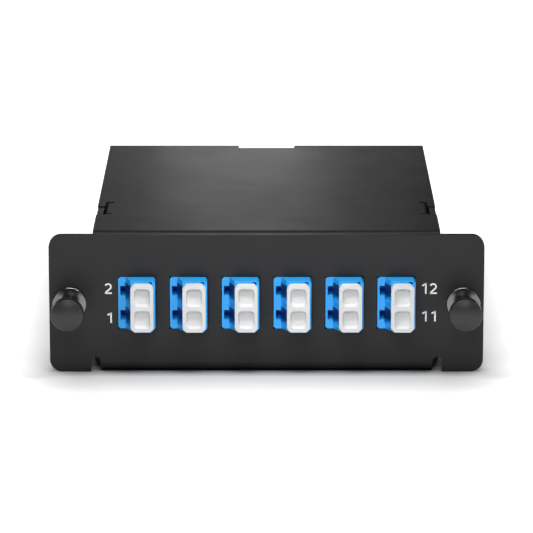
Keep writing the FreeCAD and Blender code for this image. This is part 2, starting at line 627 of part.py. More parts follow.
def turned_pair(label, profile, axis, spacing, x="0", y="0", z="0"):
    """Two identical turned pieces, a distance apart along X, as one node."""
    body = new_body(label, "-(%s) / 2" % spacing if x == "0" else x, y, z)
    body.AllowCompound = True
    plane = {"Z_Axis": "XZ_Plane", "Y_Axis": "XY_Plane"}[axis]
    turned = revolve(body, add_outline(new_sketch(body, plane, "profile"), profile), axis)
    row_of(body, turned, "X_Axis", spacing, 2)
    return body


def bracket_rivets():
    """Two rivets, flush under the floor, with heads on the bracket's foot."""
    seat = "(%s + bracket_gauge)" % FLOOR_TOP
    head_top = "(%s + bracket_gauge + rivet_head_height)" % FLOOR_TOP
    return turned_pair("bracket_rivets",
                       [("0", FLOOR_UNDER), ("rivet_diameter / 2", FLOOR_UNDER),
                        ("rivet_diameter / 2", seat), ("rivet_head / 2", seat),
                        ("rivet_diameter / 2", head_top), ("0", head_top)],
                       "Z_Axis", "rivet_spacing", y="rivet_place")


def adapter_x(index):
    """Place of an adapter along the face, counted from the left."""
    return "(%s + adapter_pitch * %d)" % (FIRST_ADAPTER, index)


def port_outline(sketch, z):
    """Square port with its two-step latch slot towards the flush side."""
    narrow = "-adapter_width / 2 + key_narrow_edge"
    wide = "-adapter_width / 2 + key_wide_edge"
    left = "port_shift - port_size / 2"
    right = "port_shift + port_size / 2"
    lower = [(narrow, "key_narrow"), (wide, "key_narrow"), (wide, "key_wide"),
             (left, "key_wide"), (left, "port_size"), (right, "port_size")]
    corners = [(x, "%s - %s / 2" % (z, height)) for x, height in lower]
    corners += [(x, "%s + %s / 2" % (z, height)) for x, height in reversed(lower)]
    add_outline(sketch, corners)


def lc_adapter(index):
    """Duplex adapter on its side: stepped noses, keyed ports and two sleeve bores."""
    label = "lc_adapter_%d" % (index + 1)
    body = new_body(label, adapter_x(index), ADAPTER_MIDDLE, "adapter_rise")
    side = "adapter_width / 2"
    flush = "-adapter_width / 2 + latch_side"
    full = "-adapter_width / 2 + latch_side + nose_slope"
    nose = "-adapter_length / 2"
    step = "-adapter_length / 2 + nose_out"
    plan = new_sketch(body, "XY_Plane", "plan")
    add_outline(plan, [("-" + side, step), (flush, step), (full, nose), (side, nose),
                       (side, "adapter_length / 2"), (full, "adapter_length / 2"),
                       (flush, "adapter_length / 2 - nose_out"),
                       ("-" + side, "adapter_length / 2 - nose_out")])
    pad(body, plan, "adapter_height", both_ways=True)
    half_width = size(side)
    long_edges = edges_where(body, lambda edge: edge.BoundBox.YLength > size("adapter_length") / 2
                             and abs(abs(edge.CenterOfMass.x - size(adapter_x(index)))
                                     - half_width) < 1e-3)
    dress(body, "Chamfer", long_edges, "adapter_edge")
    corner = new_sketch(body, "XZ_Plane", "nose_corner", "adapter_length / 2")
    add_outline(corner, [(side, "-adapter_height / 2"),
                         (side, "-adapter_height / 2 + nose_chamfer"),
                         (side + " - nose_chamfer", "-adapter_height / 2")])
    pocket(body, corner, "nose_out")
    shoulder = new_sketch(body, "XZ_Plane", "shoulder", ADAPTER_MIDDLE)
    add_outline(shoulder, centred("adapter_width", "shoulder_height"))
    pad(body, shoulder, "shoulder_thick", reverse=True)

    cavity = "(adapter_length / 2 - port_wall / 2)"
    cuts = []
    for place, sign in (("lower", "-"), ("upper", "")):
        ports = new_sketch(body, "XZ_Plane", "ports_" + place, "adapter_length / 2")
        port_outline(ports, "(%sport_pitch / 2)" % sign)
        cuts.append(pocket(body, ports, cavity))
    mirror_of(body, cuts, "XZ_Plane")
    sleeves = new_sketch(body, "XZ_Plane", "sleeve_bores")
    for sign in ("-", ""):
        add_circle(sleeves, "port_shift", sign + "port_pitch / 2",
                   "sleeve_diameter + 2 * sleeve_gap")
    pocket(body, sleeves, "port_wall", both_ways=True)
    eye = new_sketch(body, "XZ_Plane", "eye", "adapter_length / 2")
    add_circle(eye, "eye_x", "eye_z", "eye_diameter")
    pocket(body, eye, "eye_depth")
    return body


def alignment_sleeves(index):
    """The adapter's two split ceramic sleeves."""
    body = new_body("alignment_sleeves_%d" % (index + 1), "%s + port_shift" % adapter_x(index),
                    ADAPTER_MIDDLE, "adapter_rise - port_pitch / 2")
    body.AllowCompound = True
    ring = new_sketch(body, "XZ_Plane", "ring")
    add_circle(ring, "0", "0", "sleeve_diameter")
    add_circle(ring, "0", "0", "ferrule_diameter + 2 * ferrule_gap")
    tube = pad(body, ring, "sleeve_length", both_ways=True)
    slit = new_sketch(body, "XZ_Plane", "slit")
    add_outline(slit, rectangle("0", "sleeve_diameter", "-sleeve_slit / 2", "sleeve_slit / 2"))
    cut = pocket(body, slit, "sleeve_length", both_ways=True)
    pair = body.newObject("PartDesign::MultiTransform", body.Label + "_pair")
    pair.Originals = [tube, cut]
    step = body.newObject("PartDesign::LinearPattern", body.Label + "_step")
    step.Direction = (origin_part(body, "Z_Axis"), [""])
    step.Mode = "Spacing"
    bind(step, Offset="port_pitch")
    step.Occurrences = 2
    pair.Transformations = [step]
    body.Tip = pair
    doc.recompute()
    return body


def cap_slice(body, label, lift, inset, thick):
    """One slice of the dust cap's head, with cut corners, inside the outline by an inset."""
    x_low = "cap_shift - cap_width / 2 + %s" % inset
    x_high = "cap_shift + cap_width / 2 - %s" % inset
    z_high = "cap_height / 2 - %s" % inset
    z_low = "-cap_height / 2 + %s" % inset
    head = new_sketch(body, "XZ_Plane", label, lift)
    add_outline(head, [(x_low + " + cap_corner", z_low), (x_high + " - cap_corner", z_low),
                       (x_high, z_low + " + cap_corner"), (x_high, z_high + " - cap_corner"),
                       (x_high + " - cap_corner", z_high), (x_low + " + cap_corner", z_high),
                       (x_low, z_high + " - cap_corner"), (x_low, z_low + " + cap_corner")])
    pad(body, head, thick)


def dust_cap(index):
    """Duplex dust cap: grooved head with two finger recesses, and two square plugs."""
    body = new_body("dust_cap_%d" % (index + 1), adapter_x(index), NOSE, "adapter_rise")
    cap_slice(body, "foot", "0", "0", "cap_foot")
    cap_slice(body, "neck", "cap_foot", "cap_groove", "cap_neck")
    cap_slice(body, "front", "(cap_foot + cap_neck)", "0", "cap_thick - cap_foot - cap_neck")
    plugs = new_sketch(body, "XZ_Plane", "plugs")
    recesses = new_sketch(body, "XZ_Plane", "recesses", "cap_thick")
    for sign in ("-", ""):
        add_outline(plugs, centred("cap_plug_size", "cap_plug_size", "port_shift",
                                   sign + "port_pitch / 2"))
        add_outline(recesses, centred("cap_recess_width", "cap_recess_height", "cap_shift",
                                      sign + "cap_recess_pitch / 2", "cap_recess_corner"))
    pad(body, plugs, "cap_plug_length", reverse=True)
    pocket(body, recesses, "cap_recess_depth")
    plug_end = size(NOSE + " + cap_plug_length")
    dress(body, "Chamfer", edges_where(body, lambda edge: lies_at(edge, 1, plug_end)),
          "cap_plug_lead")
    return body


def lc_plug(index):
    """Factory LC plug in an adapter's rear port: ferrule, square housing, latch arm, boot."""
    adapter, port = divmod(index, PORTS_PER_ADAPTER)
    sign = "-" if port == 0 else "+"
    body = new_body("lc_plug_%02d" % (index + 1), "%s + port_shift" % adapter_x(adapter),
                    ADAPTER_MIDDLE, "adapter_rise %s port_pitch / 2" % sign)
    housing = new_sketch(body, "XZ_Plane", "housing", "-ferrule_free")
    add_outline(housing, centred("plug_size", "plug_size"))
    pad(body, housing, "plug_length", reverse=True)
    arm = new_sketch(body, "XY_Plane", "arm")
    side = "-plug_size / 2"
    start = "(ferrule_free + arm_rise)"
    end = "(ferrule_free + plug_length - arm_rise)"
    add_outline(arm, [(side + " + arm_rise", start), (side, start),
                      (side + " - arm_rise", end + " - 2 * arm_rise"), (side + " - arm_rise", end),
                      (side + " + arm_rise", end)])
    pad(body, arm, "arm_width", both_ways=True)
    shank = "(ferrule_free + plug_length - arm_rise)"
    tail = "ferrule_free + plug_length"
    shaft = new_sketch(body, "XY_Plane", "shaft")
    add_outline(shaft, [("0", "ferrule_gap"), ("ferrule_diameter / 2", "ferrule_gap"),
                        ("ferrule_diameter / 2", shank), ("boot_diameter / 2", shank),
                        ("boot_diameter / 2", tail + " + boot_length"),
                        ("0", tail + " + boot_length")])
    revolve(body, shaft, "Y_Axis")
    return body


def strand_along(places, diameter, bend):
    """Light eight-sided strand along straight runs joined by tangent arcs."""
    edges = []
    start = places[0]
    for before, corner, after in zip(places, places[1:], places[2:]):
        back = (before - corner).normalize()
        ahead = (after - corner).normalize()
        half = back.getAngle(ahead) / 2
        trim = bend / math.tan(half)
        first = corner + back * trim
        last = corner + ahead * trim
        bisector = (back + ahead).normalize()
        middle = corner + bisector * (bend / math.sin(half) - bend)
        edges.append(Part.LineSegment(start, first).toShape())
        edges.append(Part.Arc(first, middle, last).toShape())
        start = last
    edges.append(Part.LineSegment(start, places[-1]).toShape())
    path = Part.Wire(edges)
    circle = Part.Circle(places[0], places[1] - places[0], diameter / 2)
    section = Part.makePolygon([circle.value(2 * math.pi * side / FIBRE_SIDES)
                                for side in range(FIBRE_SIDES + 1)])
    strand = path.makePipeShell([section], True, False)
    area = FIBRE_SIDES / 8 * diameter ** 2 * math.sin(2 * math.pi / FIBRE_SIDES)
    if abs(strand.Volume / (area * path.Length) - 1) > 0.01:
        raise RuntimeError("strand volume is off: %.3f" % strand.Volume)
    return strand


def fibre(index):
    """Buffered fibre from an LC plug's boot to its hole in the fan-out."""
    adapter, port = divmod(index, PORTS_PER_ADAPTER)
    row = port - 0.5
    x_plug = size("%s + port_shift" % adapter_x(adapter))
    z_plug = size("adapter_rise + port_pitch * (%g)" % row)
    x_fan = size("fan_pitch * (%g)" % (adapter - (ADAPTER_COUNT - 1) / 2))
    z_fan = size("fan_pitch * (%g)" % row)
    lead = size("fibre_lead")
    places = [FreeCAD.Vector(x_plug, size(BOOT_END), z_plug),
              FreeCAD.Vector(x_plug, size(BOOT_END) + lead, z_plug),
              FreeCAD.Vector(x_fan, size("fan_front") - lead, z_fan),
              FreeCAD.Vector(x_fan, size("fan_front"), z_fan)]
    strand = doc.addObject("Part::Feature", "fibre_%02d" % (index + 1))
    strand.Label = "fibre_%02d" % (index + 1)
    strand.Shape = strand_along(places, size("fibre_diameter"), size("fibre_bend"))
    return strand


def fan_out():
    """Block in which the twelve fibres join the trunk."""
    body = new_body("fan_out")
    block = new_sketch(body, "XZ_Plane", "block", "-fan_front")
    add_outline(block, centred("fan_width", "fan_height", radius="fan_height / 5"))
    pad(body, block, "fan_length", reverse=True)
    return body


def fan_out_saddle():
    """Moulded saddle: foot on the floor, stem, and two arms beside the fan-out."""
    body = new_body("fan_out_saddle", y="fan_front + fan_length / 2")
    foot = "saddle_foot / 2"
    foot_top = "%s + saddle_wall" % FLOOR_TOP
    stem = "saddle_stem / 2"
    seat = "-fan_height / 2"
    seat_under = "-fan_height / 2 - saddle_wall"
    inside = "(fan_width / 2 + sheet_gap)"
    arm = "(fan_width / 2 + sheet_gap + saddle_wall)"
    arm_top = "-fan_height / 2 + saddle_grip"
    right = [(foot, FLOOR_TOP), (foot, foot_top), (stem, foot_top), (stem, seat_under),
             (arm, seat_under), (arm, arm_top), (inside, arm_top), (inside, seat)]
    left = [("-(%s)" % x, z) for x, z in reversed(right)]
    saddle = new_sketch(body, "XZ_Plane", "saddle")
    add_outline(saddle, right + left)
    pad(body, saddle, "saddle_length", both_ways=True)
    return body


def trunk_cable():
    """Jacketed trunk from the fan-out to the MPO plug's boot."""
    cable = doc.addObject("Part::Cylinder", "trunk_cable")
    cable.Label = "trunk_cable"
    bind(cable, Radius="trunk_diameter / 2", Height="%s - %s" % (MPO_BOOT_FRONT, FAN_REAR),
         Placement__Base__y=MPO_BOOT_FRONT)
    cable.Placement.Rotation = FreeCAD.Rotation(FreeCAD.Vector(1, 0, 0), 90)
    return cable


def mpo_adapter():
    """MPO adapter with a flange on the rear wall, and a keyed port at both ends."""
    body = new_body("mpo_adapter", y=MPO_MIDDLE)
    length = "(mpo_inside + mpo_outside)"
    block = new_sketch(body, "XZ_Plane", "block")
    add_outline(block, centred("mpo_width", "mpo_height", radius="mpo_key_height"))
    pad(body, block, length, both_ways=True)
    flange = new_sketch(body, "XZ_Plane", "flange", "%s - %s" % (MPO_MIDDLE, REAR_WALL))
    add_outline(flange, centred("mpo_flange_width", "mpo_height", radius="mpo_flange_thick"))
    for sign in ("-", ""):
        add_circle(flange, sign + "mpo_screw_spacing / 2", "0", "mpo_screw + 2 * mpo_screw_gap")
    pad(body, flange, "mpo_flange_thick", reverse=True)
    port = new_sketch(body, "XZ_Plane", "port", "%s / 2" % length)
    side = "mpo_port_width / 2"
    top = "mpo_port_height / 2"
    key = "mpo_key_width / 2"
    key_top = "mpo_port_height / 2 + mpo_key_height"
    add_outline(port, [("-" + side, "-" + top), (side, "-" + top), (side, top), (key, top),
                       (key, key_top), ("-" + key, key_top), ("-" + key, top), ("-" + side, top)])
    cut = pocket(body, port, "(%s - mpo_web) / 2" % length)
    mirror_of(body, [cut], "XZ_Plane")
    window = new_sketch(body, "XZ_Plane", "ferrule_window")
    add_outline(window, centred("mpo_web_width", "mpo_web_height"))
    pocket(body, window, "mpo_web", both_ways=True)
    return body


def mpo_plug():
    """MPO plug on the inner side: ferrule, housing, sliding sleeve and boot."""
    body = new_body("mpo_plug", y=MPO_FRONT)
    ferrule = new_sketch(body, "XZ_Plane", "ferrule")
    add_outline(ferrule, centred("mpo_ferrule", "mpo_ferrule_height"))
    pad(body, ferrule, "(mpo_inside + mpo_outside) / 2 - mpo_play", reverse=True)
    housing = new_sketch(body, "XZ_Plane", "housing")
    add_outline(housing, centred("(mpo_port_width - 2 * mpo_fit)", "(mpo_port_height - 2 * mpo_fit)"))
    pad(body, housing, "mpo_plug_inset", reverse=True)
    neck = new_sketch(body, "XZ_Plane", "neck")
    add_outline(neck, centred("(mpo_port_width - 2 * mpo_fit)", "(mpo_port_height - 2 * mpo_fit)"))
    pad(body, neck, "mpo_play")
    sleeve = new_sketch(body, "XZ_Plane", "sleeve", "mpo_play")
    add_outline(sleeve, centred("mpo_sleeve_width", "mpo_sleeve_height", radius="mpo_key_height"))
    pad(body, sleeve, "mpo_sleeve_length - mpo_play")
    boot = new_sketch(body, "XY_Plane", "boot")
    root = "-mpo_sleeve_length + mpo_play"
    end = "-mpo_sleeve_length - mpo_boot_length"
    add_outline(boot, [("0", root), ("0", end), ("mpo_boot_tip / 2", end),
                       ("mpo_boot_diameter / 2", "-mpo_sleeve_length"),
                       ("mpo_boot_diameter / 2", root)])
    revolve(body, boot, "Y_Axis")
    return body


def mpo_screws():
    """Two screws through the flange and the rear wall."""
    seat = "(mpo_flange_thick)"
    end = "(-tray_gauge - mpo_nut_height - mpo_screw_end)"
    head = "mpo_screw_head / 2"
    return turned_pair("mpo_screws",
                       [("0", end), ("mpo_screw / 2", end), ("mpo_screw / 2", seat), (head, seat),
                        (head, seat + " + mpo_screw_head_height"),
                        ("0", seat + " + mpo_screw_head_height")],
                       "Y_Axis", "mpo_screw_spacing", y=REAR_WALL)


def mpo_nuts():
    """Two hexagon nuts on the rear wall's inner side."""
    body = new_body("mpo_nuts", "-mpo_screw_spacing / 2", REAR_WALL_INNER)
    body.AllowCompound = True
    hexagon = new_sketch(body, "XZ_Plane", "hexagon")
    corners = [("mpo_nut / 2 / cos(30) * cos(%d)" % turn, "mpo_nut / 2 / cos(30) * sin(%d)" % turn)
               for turn in range(0, 360, 60)]
    add_outline(hexagon, corners)
    add_circle(hexagon, "0", "0", "mpo_screw + mpo_screw_gap")
    nut = pad(body, hexagon, "mpo_nut_height")
    row_of(body, nut, "X_Axis", "mpo_screw_spacing", 2)
    return body


def mpo_dust_cap():
    """Cap that closes the MPO port behind the rear wall."""
    body = new_body("mpo_dust_cap", y=MPO_REAR)
    head = new_sketch(body, "XZ_Plane", "head")
    add_outline(head, centred("mpo_width", "mpo_height", radius="mpo_key_height"))
    pad(body, head, "mpo_cap_wall", reverse=True)
    plug = new_sketch(body, "XZ_Plane", "plug")
    add_outline(plug, centred("(mpo_port_width - 2 * mpo_fit)", "(mpo_port_height - 2 * mpo_fit)"))
    pad(body, plug, "mpo_cap_plug")
    plug_end = size(MPO_REAR + " - mpo_cap_plug")
    dress(body, "Chamfer", edges_where(body, lambda edge: lies_at(edge, 1, plug_end)),
          "cap_plug_lead")
    return body


def latch_grommet(side, sign):
    """Grommet in the face plate: flange, split barrel and the plunger's bore."""
    body = new_body("latch_grommet_" + side, sign + LATCH_X)
    bore = "stem_diameter / 2 + stem_gap"
    front = "(-tray_gauge - flange_thick)"
    barrel = "barrel_diameter / 2"
    flange = "flange_diameter / 2"
    profile = new_sketch(body, "XY_Plane", "profile")
    add_outline(profile, [(bore, front), (flange + " - flange_bevel", front),
                          (flange, front + " + flange_fall"), (flange, FACE),
                          (barrel, FACE), (barrel, "barrel_length - barrel_taper"),
                          ("barrel_tip / 2", "barrel_length"), (bore, "barrel_length")])
    revolve(body, profile, "Y_Axis")
    arm = "barrel_diameter"
    half = "leg_slot / 2"
    slots = new_sketch(body, "XZ_Plane", "leg_slots", "-leg_root")
    add_outline(slots, [("-" + arm, "-" + half), ("-" + half, "-" + half), ("-" + half, "-" + arm),
                        (half, "-" + arm), (half, "-" + half), (arm, "-" + half), (arm, half),
                        (half, half), (half, arm), ("-" + half, arm), ("-" + half, half),
                        ("-" + arm, half)])
    pocket(body, slots, "barrel_length")
    return body


def latch_plunger(side, sign):
    """Push-pull knob with its stem, drawn fully out, and the barb that stops it."""
    body = new_body("latch_plunger_" + side, sign + LATCH_X)
    rim_end = "(%s + knob_rim)" % KNOB_FRONT
    waist_end = "(%s + knob_rim + waist_length)" % KNOB_FRONT
    shoulder = "(-tray_gauge - flange_thick - latch_travel - stop_gap)"
    stop = "(barrel_length + stop_gap)"
    knob = "knob_diameter / 2"
    stem = "stem_diameter / 2"
    profile = new_sketch(body, "XY_Plane", "profile")
    add_outline(profile, [("0", KNOB_FRONT), (knob + " / 2", KNOB_FRONT),
                          (knob, KNOB_FRONT + " + knob_fall"), (knob, rim_end),
                          ("waist_diameter / 2", waist_end), ("waist_diameter / 2", shoulder),
                          (stem, shoulder), (stem, stop), ("barb_diameter / 2", stop),
                          (stem + " / 2", stop + " + barb_length"),
                          ("0", stop + " + barb_length")])
    revolve(body, profile, "Y_Axis")
    return body


def check_all_objects():
    """Stop if any object of the document failed to build."""
    failed = [item.Label for item in doc.Objects if {"Invalid", "Error"} & set(item.State)]
    if failed:
        raise RuntimeError("failed objects: " + ", ".join(failed))


def write_parts(parts):
    """Write each piece to its own STEP file, named by its label."""
    os.makedirs("parts", exist_ok=True)
    for piece in parts:
        shape = piece.Shape
        if shape.isNull() or not shape.isValid() or not shape.Solids:
            raise RuntimeError("bad shape: " + piece.Label)
        shape.exportStep(os.path.join("parts", piece.Label + ".step"))
        print("%-22s solids %d volume %10.3f" % (piece.Label, len(shape.Solids), shape.Volume))


pieces = [base_tray(), top_cover(), adapter_bracket(), bracket_rivets()]
for number in range(ADAPTER_COUNT):
    pieces += [lc_adapter(number), alignment_sleeves(number), dust_cap(number)]
for number in range(ADAPTER_COUNT * PORTS_PER_ADAPTER):
    pieces += [lc_plug(number), fibre(number)]
pieces += [fan_out(), fan_out_saddle(), trunk_cable()]
pieces += [mpo_adapter(), mpo_plug(), mpo_screws(), mpo_nuts(), mpo_dust_cap()]
for side_name, side_sign in (("left", "-"), ("right", "")):
    pieces += [latch_grommet(side_name, side_sign), latch_plunger(side_name, side_sign)]
doc.recompute()
check_all_objects()
write_parts(pieces)
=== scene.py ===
"""Fibre cassette: folded black tray and cover, blue duplex adapters with white dust caps."""

import json
import math

import bmesh
import bpy
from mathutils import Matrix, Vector

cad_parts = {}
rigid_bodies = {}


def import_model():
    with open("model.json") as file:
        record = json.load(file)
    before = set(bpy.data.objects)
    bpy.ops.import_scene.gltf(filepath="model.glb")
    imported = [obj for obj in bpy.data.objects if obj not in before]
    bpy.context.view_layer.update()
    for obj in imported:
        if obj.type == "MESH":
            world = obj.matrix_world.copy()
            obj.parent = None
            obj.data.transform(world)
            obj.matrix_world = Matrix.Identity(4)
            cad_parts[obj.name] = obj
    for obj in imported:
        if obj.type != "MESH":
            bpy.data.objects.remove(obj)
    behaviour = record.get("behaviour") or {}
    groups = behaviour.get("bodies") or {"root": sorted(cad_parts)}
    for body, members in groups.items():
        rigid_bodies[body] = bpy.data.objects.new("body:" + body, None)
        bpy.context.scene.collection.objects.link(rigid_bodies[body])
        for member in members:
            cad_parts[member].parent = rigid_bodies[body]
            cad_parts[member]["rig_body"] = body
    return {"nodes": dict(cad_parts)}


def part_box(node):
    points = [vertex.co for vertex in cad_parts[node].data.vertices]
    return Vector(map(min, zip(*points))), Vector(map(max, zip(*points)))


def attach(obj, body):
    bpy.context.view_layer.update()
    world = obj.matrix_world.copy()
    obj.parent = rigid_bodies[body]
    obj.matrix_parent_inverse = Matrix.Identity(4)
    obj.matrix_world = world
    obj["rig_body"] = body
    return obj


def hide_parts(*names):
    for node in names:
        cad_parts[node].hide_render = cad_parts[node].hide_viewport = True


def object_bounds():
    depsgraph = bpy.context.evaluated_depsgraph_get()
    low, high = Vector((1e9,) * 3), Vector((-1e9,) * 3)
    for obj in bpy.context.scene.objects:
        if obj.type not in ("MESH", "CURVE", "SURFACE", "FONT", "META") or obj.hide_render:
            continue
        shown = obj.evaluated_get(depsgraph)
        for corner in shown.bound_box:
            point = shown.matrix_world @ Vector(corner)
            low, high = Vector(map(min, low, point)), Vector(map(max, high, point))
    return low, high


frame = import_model()
cad_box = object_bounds()
NODES = frame["nodes"]

MM = 0.001
WELD = 0.001 * MM
ADAPTERS = 6
PLUGS = 12

# Tones of each finish, light and deep, as sRGB.
POWDER_BLACK = ("#1e1e1f", "#1b1b1c")
ADAPTER_BLUE = ("#2facf9", "#2ba8f7")
CAP_WHITE = ("#e4e5e6", "#e0e1e2")
NYLON_BLACK = ("#1f1f20", "#171718")
INK_WHITE = ("#fdfdfc", "#f8f8f6")
ZINC = ("#b9bcc0", "#a5a9ae")
STEEL = ("#a8a9ab", "#96979a")
ALUMINIUM = ("#c3c4c6", "#adaeb1")
ZIRCONIA = ("#f2efe6", "#ece8dc")
PLUG_BLUE = ("#1c5fb4", "#17539f")
JACKET_YELLOW = ("#e5b81e", "#d9ab18")
PLUG_GREEN = ("#2f8f4e", "#277d43")
FLOOR_WHITE = "#ededed"
# The twelve fibres follow the usual order of buffer colours.
BUFFER_COLOURS = ["#1f5fc4", "#e8741e", "#2b9448", "#7a4a2a", "#8a9096", "#f0f0ec",
                  "#cf2b2b", "#222224", "#ecd02c", "#7d3fa6", "#e88aa6", "#4cc4c9"]


def linear(hex_colour):
    """Linear colour with alpha, from an sRGB hex value."""
    channels = [int(hex_colour[i:i + 2], 16) / 255 for i in (1, 3, 5)]
    return [c / 12.92 if c <= 0.04045 else ((c + 0.055) / 1.055) ** 2.4 for c in channels] + [1.0]


def add_node(tree, kind, inputs=None, **settings):
    """Add a shader node. Inputs are values, or output sockets that feed it."""
    node = tree.nodes.new("ShaderNode" + kind)
    for name, value in settings.items():
        setattr(node, name, value)
    for name, value in (inputs or {}).items():
        if isinstance(value, bpy.types.NodeSocket):
            tree.links.new(value, node.inputs[name])
        else:
            node.inputs[name].default_value = value
    return node


def new_material(name):
    """An empty node material and its node tree."""
    material = bpy.data.materials.new(name)
    material.use_nodes = True
    material.node_tree.nodes.clear()
    return material, material.node_tree


def grained(name, tones, grain, height, roughness, patch=12 * MM, spread=0.02, **shader):
    """A surface of two close shades in soft patches, with an even grain of a real size."""
    material, tree = new_material(name)
    place = add_node(tree, "TexCoord").outputs["Object"]
    patches = add_node(tree, "TexNoise", {"Vector": place, "Scale": 1 / patch, "Detail": 3.0,
                                          "Roughness": 0.55})
    shade = add_node(tree, "Mix", {0: patches.outputs["Fac"], 6: linear(tones[0]),
                                   7: linear(tones[1])}, data_type="RGBA")
    fine = add_node(tree, "TexNoise", {"Vector": place, "Scale": 1 / grain, "Detail": 2.0,
                                       "Roughness": 0.6})
    gloss = add_node(tree, "MapRange", {"Value": patches.outputs["Fac"], "From Min": 0.3,
                                        "From Max": 0.7, "To Min": roughness - spread,
                                        "To Max": roughness + spread})
    bump = add_node(tree, "Bump", {"Height": fine.outputs["Fac"], "Strength": 1.0,
                                   "Distance": height})
    surface = add_node(tree, "BsdfPrincipled", {"Base Color": shade.outputs[2],
                                                "Roughness": gloss.outputs["Result"],
                                                "Normal": bump.outputs["Normal"]})
    for socket, value in shader.items():
        surface.inputs[socket.replace("_", " ")].default_value = value
    output = add_node(tree, "OutputMaterial", {"Surface": surface.outputs["BSDF"]})
    tree.nodes.active = output
    return material


# Black powder coat on steel: satin, with the fine orange peel of baked powder.
POWDER_COAT = grained("satin_black_powder_coat", POWDER_BLACK, grain=0.35 * MM,
                      height=0.003 * MM, roughness=0.42, Specular_IOR_Level=0.3)
# Blue moulded thermoplastic: clean colour and a soft sheen.
BLUE_PLASTIC = grained("blue_moulded_pbt", ADAPTER_BLUE, grain=0.3 * MM, height=0.003 * MM,
                       roughness=0.34)
# Milky polyethylene: light sinks in a little, so edges glow softly.
WHITE_CAP = grained("milky_white_polyethylene", CAP_WHITE, grain=0.5 * MM, height=0.003 * MM,
                    roughness=0.42, Subsurface_Weight=0.12, Subsurface_Scale=0.8 * MM)
# Black glass-filled nylon: matt, with a faint mould texture.
NYLON = grained("black_moulded_nylon", NYLON_BLACK, grain=0.35 * MM, height=0.003 * MM,
                roughness=0.40)
# Polished black flange of the grommets: reflects its surroundings clearly.
GLOSSY_NYLON = grained("polished_black_nylon", NYLON_BLACK, grain=0.8 * MM, height=0.0002 * MM,
                       roughness=0.16, IOR=2.2)
# Screen-printed white ink: dense and matt.
INK = grained("white_screen_print_ink", INK_WHITE, grain=0.25 * MM, height=0.004 * MM,
              roughness=0.55)
# Zinc plated steel sheet: grey and softly mirroring, cloudy from the bath.
ZINC_PLATE = grained("zinc_plated_steel", ZINC, grain=0.6 * MM, height=0.004 * MM,
                     roughness=0.34, patch=5 * MM, spread=0.1, Metallic=1.0)
# Nickel plated steel of the small screws and nuts.
PLATED_STEEL = grained("nickel_plated_steel", STEEL, grain=0.4 * MM, height=0.003 * MM,
                       roughness=0.28, Metallic=1.0)
# Plain aluminium rivets, dulled by handling.
RIVET_METAL = grained("plain_aluminium", ALUMINIUM, grain=0.4 * MM, height=0.004 * MM,
                      roughness=0.4, Metallic=1.0)
# Polished zirconia ceramic: warm white and glossy.
CERAMIC = grained("polished_zirconia", ZIRCONIA, grain=0.8 * MM, height=0.001 * MM,
                  roughness=0.12)
# Darker blue plug housings behind the adapters.
PLUG_PLASTIC = grained("plug_blue_moulded_abs", PLUG_BLUE, grain=0.4 * MM, height=0.005 * MM,
                       roughness=0.4)
# Green housing of the multi-fibre plug.
GREEN_PLASTIC = grained("green_moulded_abs", PLUG_GREEN, grain=0.4 * MM, height=0.005 * MM,
                        roughness=0.4)
# Soft yellow jacket of the trunk.
JACKET = grained("yellow_pvc_jacket", JACKET_YELLOW, grain=0.5 * MM, height=0.008 * MM,
                 roughness=0.5)
# Glossy acrylate buffers, one colour to each fibre.
BUFFERS = [grained("fibre_buffer_%02d" % (i + 1), (colour, colour), grain=0.4 * MM,
                   height=0.003 * MM, roughness=0.38) for i, colour in enumerate(BUFFER_COLOURS)]


def refined(node, material, round_edge, segments=2, crease=32, reshape=None):
    """A copy of a CAD piece with its edges rounded, standing for the piece."""
    mesh = NODES[node].data.copy()
    mesh.name = node + "_refined"
    mesh.materials.clear()
    mesh.materials.append(material)
    shape = bmesh.new()
    shape.from_mesh(mesh)
    bmesh.ops.remove_doubles(shape, verts=shape.verts, dist=WELD)
    bmesh.ops.dissolve_limit(shape, angle_limit=math.radians(0.5), verts=shape.verts,
                             edges=shape.edges, delimit=set())
    if reshape:
        reshape(shape)
    for face in shape.faces:
        face.smooth = True
        face.material_index = 0
    shape.to_mesh(mesh)
    shape.free()
    piece = bpy.data.objects.new(node + "_finished", mesh)
    bpy.context.scene.collection.objects.link(piece)
    if round_edge:
        bevel = piece.modifiers.new("rounded_edges", "BEVEL")
        bevel.width = round_edge
        bevel.segments = segments
        bevel.limit_method = "ANGLE"
        bevel.angle_limit = math.radians(crease)
        bevel.use_clamp_overlap = True
        even = piece.modifiers.new("even_shading", "WEIGHTED_NORMAL")
        even.mode = "FACE_AREA"
        even.weight = 100
    else:
        mesh.set_sharp_from_angle(angle=math.radians(crease))
    stand_for(piece, node)


def stand_for(piece, node):
    """Show a finished piece in place of a CAD piece, moving with the same body."""
    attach(piece, NODES[node]["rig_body"])
    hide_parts(node)


def arc(centre, radius, start, end, steps):
    """Points along an arc, from one angle to another in degrees."""
    turns = [math.radians(start + (end - start) * i / steps) for i in range(steps + 1)]
    return [(centre[0] + radius * math.cos(turn), centre[1] + radius * math.sin(turn))
            for turn in turns]


